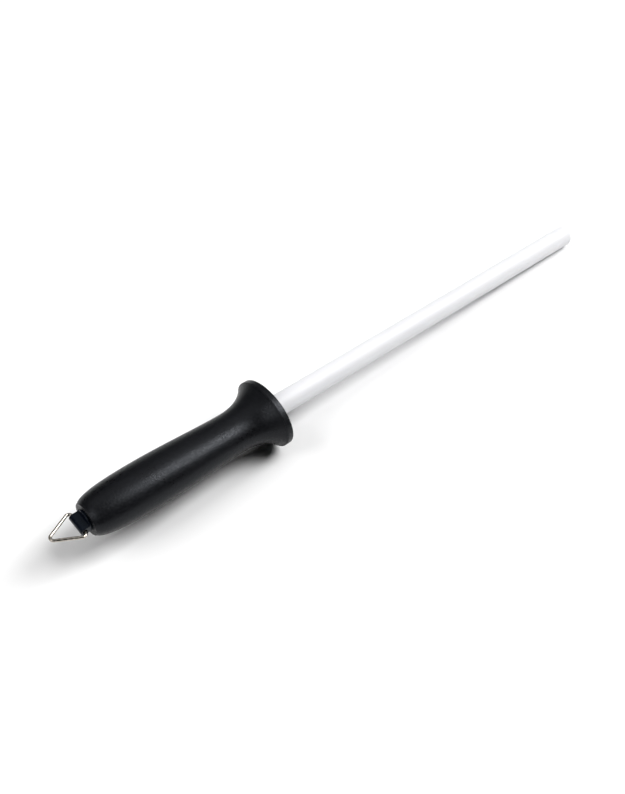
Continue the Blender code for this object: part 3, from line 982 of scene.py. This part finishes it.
# %% [markdown]
# ## The hanging ring
#
# The ring is one length of wire bent to a triangle, its two ends pushed into the lug from both sides.
# The path is three straight runs with round bends. We could round the corners with a bevel on a curve,
# but a bend here has a real radius, so its points are worked out: the centre lies on the line that
# halves the corner, and the points go round it from one run to the other.

# %% The ring's path
WIRE = 0.9
RING_WIDTH = 18.0
RING_HEIGHT = 18.8
CORNER_BEND = 2.0
APEX_BEND = 1.9
END_GAP = 0.5
END_EASE = 0.18
BEND_STEPS = 17


def bend(corner, towards_a, towards_b, radius):
    """The points that round a sharp corner between two straight runs."""
    a = (towards_a - corner).normalized()
    b = (towards_b - corner).normalized()
    half_angle = a.angle(b) / 2
    centre = corner + (a + b).normalized() * (radius / math.sin(half_angle))
    first = corner + a * (radius / math.tan(half_angle)) - centre
    last = corner + b * (radius / math.tan(half_angle)) - centre
    spokes = [first.slerp(last, i / (BEND_STEPS - 1)).normalized() for i in range(BEND_STEPS)]
    return [centre + spoke * radius for spoke in spokes]


near = Vector((0.0, RING_WIDTH / 2, 0.0))
far = Vector((0.0, -RING_WIDTH / 2, 0.0))
apex = Vector((0.0, 0.0, -RING_HEIGHT))
wire_end = Vector((0.0, END_GAP / 2, 0.0))
eased_end = Vector((0.0, END_GAP / 2 + END_EASE, 0.0))
path = [wire_end, eased_end]
path += bend(near, far, apex, CORNER_BEND) + bend(apex, near, far, APEX_BEND)
path += bend(far, apex, near, CORNER_BEND) + [-eased_end, -wire_end]
print("the ring's path has", len(path), "points")

# %% [markdown]
# ## Where the ring rests
#
# The ring swings on the lug, so its rest angle is read from the fixed frame and not typed in: the
# points of the node's far tip are averaged, and the angle to them from the hinge is the angle we want.

# %% Ring
WIRE_SIDES = 40
END_SHARE = 0.82

to_eye = eye.inverted()
ring_points = [to_eye @ vertex.co for vertex in frame["nodes"]["hanging_ring"].data.vertices]
lowest = min(point.z for point in ring_points)
tip_points = [point for point in ring_points if point.z < lowest + WIRE]
tip_x = sum(point.x for point in tip_points) / len(tip_points)
tip_z = sum(point.z for point in tip_points) / len(tip_points)
ring_rise = math.atan(tip_x / tip_z)
print(f"ring stands {math.degrees(ring_rise):.1f} degrees from the axis")

wire_values = {"Radius": WIRE, "Sides": WIRE_SIDES, "End Share": END_SHARE, "Finish": nickel}
ring_mesh = run_tree("ring_form", wire, chain_of("ring_path", path), wire_values)
ring_place = eye @ Matrix.Rotation(ring_rise, 4, "Y")
ring = finished("ring", ring_mesh, nickel, ring_place, "ring", "ring_wire", "hanging_ring")

# %% [markdown]
# ## How true is it?
#
# The new surfaces have to stay on the fixed frame, because it is what collides and what fits. For each
# piece we measure how far its points stray from the surface that it stands for. The eye strays most,
# deep in its pilot hole: a drill leaves a cone there, and the frame's hole ends flat.

# %% Measure against the frame
for piece in (handle, rod, bond, swivel_eye, washer, screw, ring):
    stands_for = frame["nodes"][piece["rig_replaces"][0]]
    corners = [vertex.co for vertex in stands_for.data.vertices]
    faces = [polygon.vertices for polygon in stands_for.data.polygons]
    surface = BVHTree.FromPolygons(corners, faces)
    stray = max(surface.find_nearest(vertex.co)[3] for vertex in piece.data.vertices)
    print(f"{piece.name}: strays at most {stray / MM:.2f} mm from {stands_for.name}")

# %% [markdown]
# ## The floor
#
# A white rod on white paper lives by its shadow, so the floor is a plain pale sheet. It lies a hair
# under the tool, so that the two never share a surface. A very faint mottle keeps it from looking
# drawn.

# %% Floor
FLOOR_HALF = 6.0
FLOOR_DROP = 0.00002


def pale_paper():
    made, tree, shader, place = new_finish("white_sweep", Matrix.Scale(MM, 4))
    mottle = noise(tree, place, 60.0)
    colour = tint(tree, spread(tree, mottle, 0.0, 1.0), (0.930, 0.930, 0.930), (0.936, 0.936, 0.936))
    tree.links.new(colour, shader.inputs["Base Color"])
    shader.inputs["Roughness"].default_value = 0.9
    shader.inputs["Specular IOR Level"].default_value = 0.1
    return made


floor_mesh = bpy.data.meshes.new("floor")
square = ((-1, -1), (1, -1), (1, 1), (-1, 1))
floor_corners = [(x * FLOOR_HALF, y * FLOOR_HALF, -FLOOR_DROP) for x, y in square]
floor_mesh.from_pydata(floor_corners, [], [(0, 1, 2, 3)])
floor_mesh.materials.append(pale_paper())
floor = loose_object("floor", floor_mesh)
print("floor:", 2 * FLOOR_HALF, "m square")

# %% [markdown]
# ## The lights
#
# Four soft boxes hang level over the floor. The key hangs beyond the rod's tip: it makes the long
# sheen on the handle and the soft shadow beside it. Black plastic shows what it reflects, not what
# lights it, so the rest is split. The butt card is seen only in reflections and draws the flare. The
# butt fill lights what is matt but isn't reflected, so it opens the shadow with no second sheen. A weak
# fill on the far side lifts the handle there.

# %% Lights
BOX_HEIGHT = 4.0


def ceiling_box(name, x_ends, y_ends, radiance, diffuse=True, glossy=True):
    """A level soft box; its edges are in box heights from the origin."""
    data = bpy.data.lights.new(name, "AREA")
    data.shape = "RECTANGLE"
    data.size = (x_ends[1] - x_ends[0]) * BOX_HEIGHT
    data.size_y = (y_ends[1] - y_ends[0]) * BOX_HEIGHT
    data.energy = radiance * math.pi * data.size * data.size_y
    light = loose_object(name, data)
    light.location = (sum(x_ends) / 2 * BOX_HEIGHT, sum(y_ends) / 2 * BOX_HEIGHT, BOX_HEIGHT)
    light.visible_diffuse = diffuse
    light.visible_glossy = glossy
    print(f"{name}: {data.size:.1f} x {data.size_y:.1f} m, {data.energy:.0f} W")


ceiling_box("key_box", (0.38, 2.2), (-0.66, -0.04), 10.8)
ceiling_box("butt_card", (-2.6, -0.5), (-0.75, 0.1), 2.2, diffuse=False)
ceiling_box("fill_box", (-0.5, 2.2), (-0.04, 0.9), 0.5)
ceiling_box("butt_fill", (-2.6, -0.5), (0.1, 1.3), 4.2, glossy=False)

# %% [markdown]
# ## The backdrop
#
# Behind everything is a pale even world. It is only looked at: it neither lights the tool nor shows in
# its reflections, so the black stays black while a low view still has a light ground behind it. The
# standard view transform keeps the white floor a clean white.

# %% World
BACKDROP = (0.93, 0.96, 1.0, 1.0)
BACKDROP_STRENGTH = 0.85

world = bpy.data.worlds.new("studio")
world.use_nodes = True
world.node_tree.nodes["Background"].inputs["Color"].default_value = BACKDROP
world.node_tree.nodes["Background"].inputs["Strength"].default_value = BACKDROP_STRENGTH
world.cycles_visibility.diffuse = False
world.cycles_visibility.glossy = False
bpy.context.scene.world = world
bpy.context.scene.view_settings.view_transform = "Standard"
print("world strength", BACKDROP_STRENGTH)

# %% [markdown]
# ## The camera
#
# The camera looks down on the tool from behind its butt and to one side. It is placed by what it aims
# at, a direction and a distance, which is easier to adjust than three coordinates.

# %% Camera
LENS = 50.25
ELEVATION = math.radians(48.71)
TURN = math.radians(40.52)
DISTANCE = 0.6436
AIM = Vector((-0.0199, 0.0039, 0.0))

camera_data = bpy.data.cameras.new("camera")
camera_data.lens = LENS
camera = loose_object("camera", camera_data)
level = math.cos(ELEVATION)
look = Vector((math.sin(TURN) * level, math.cos(TURN) * level, -math.sin(ELEVATION)))
camera.location = AIM - look * DISTANCE
camera.rotation_euler = look.to_track_quat("-Z", "Y").to_euler()
bpy.context.scene.camera = camera
print("camera at", tuple(round(value, 4) for value in camera.location))
